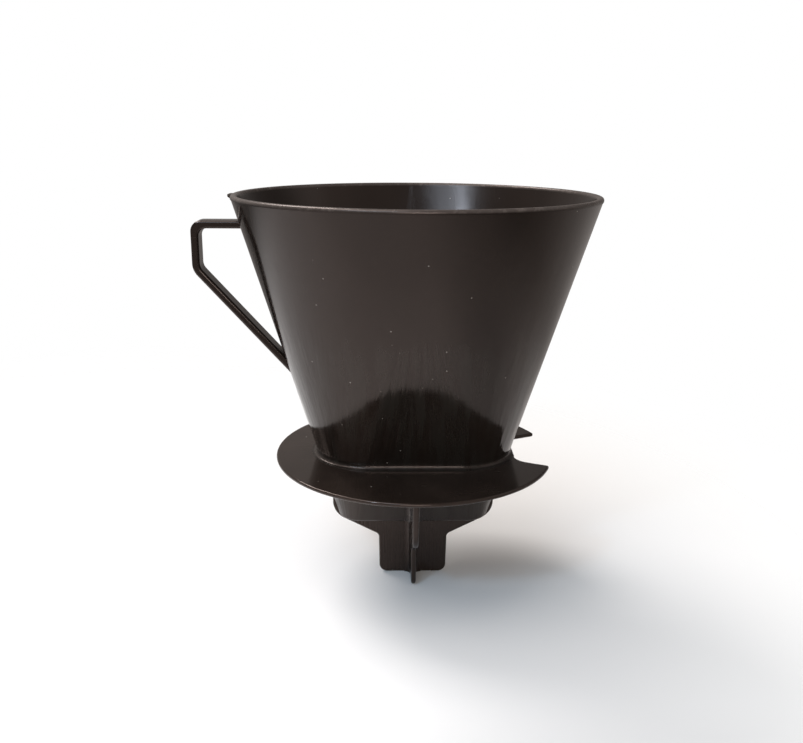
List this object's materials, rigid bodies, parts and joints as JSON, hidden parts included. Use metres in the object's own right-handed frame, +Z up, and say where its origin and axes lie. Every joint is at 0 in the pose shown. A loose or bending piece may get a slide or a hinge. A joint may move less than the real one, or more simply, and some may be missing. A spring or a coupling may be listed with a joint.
{
  "type": "pour over dripper",
  "caption": "Dark brown plastic pour-over coffee dripper: a tapered filter cone with a bent strap handle on a notched disc, with crossed centring fins below.",
  "frame": {"origin": "on the cone's axis, in the plane of the disc's underside, where the dripper rests on a jug's mouth", "axes": "+Z up along the cone's axis, handle on the -X side and the disc's notch on the +X side, flat panels of the cone facing -Y and +Y"},
  "size_m": [0.1394, 0.1248, 0.1419],
  "materials": {
    "cone_plastic": "glossy dark brown moulded plastic, faint sink streaks up the wall",
    "rim_plastic": "glossy dark brown moulded plastic, polished by handling",
    "handle_plastic": "glossy dark brown moulded plastic, rounded edges",
    "disc_plastic": "glossy dark brown moulded plastic, lightly scuffed on top",
    "fin_plastic": "satin dark brown moulded plastic"
  },
  "bodies": {
    "root": {"cone_wall": "cone_plastic", "rim_bead": "rim_plastic", "rim_lug": "rim_plastic", "handle_top_arm": "handle_plastic", "handle_grip": "handle_plastic", "handle_lower_arm": "handle_plastic", "base_disc": "disc_plastic", "outlet_wedge": "cone_plastic", "filter_floor": "cone_plastic", "fin_core": "fin_plastic", "fin_front": "fin_plastic", "fin_back": "fin_plastic", "fin_handle_side": "fin_plastic", "fin_notch_side": "fin_plastic", "inner_ribs_front": "cone_plastic", "inner_ribs_back": "cone_plastic", "inner_ribs_handle_end": "cone_plastic", "inner_ribs_notch_end": "cone_plastic"}
  },
  "joints": []
}
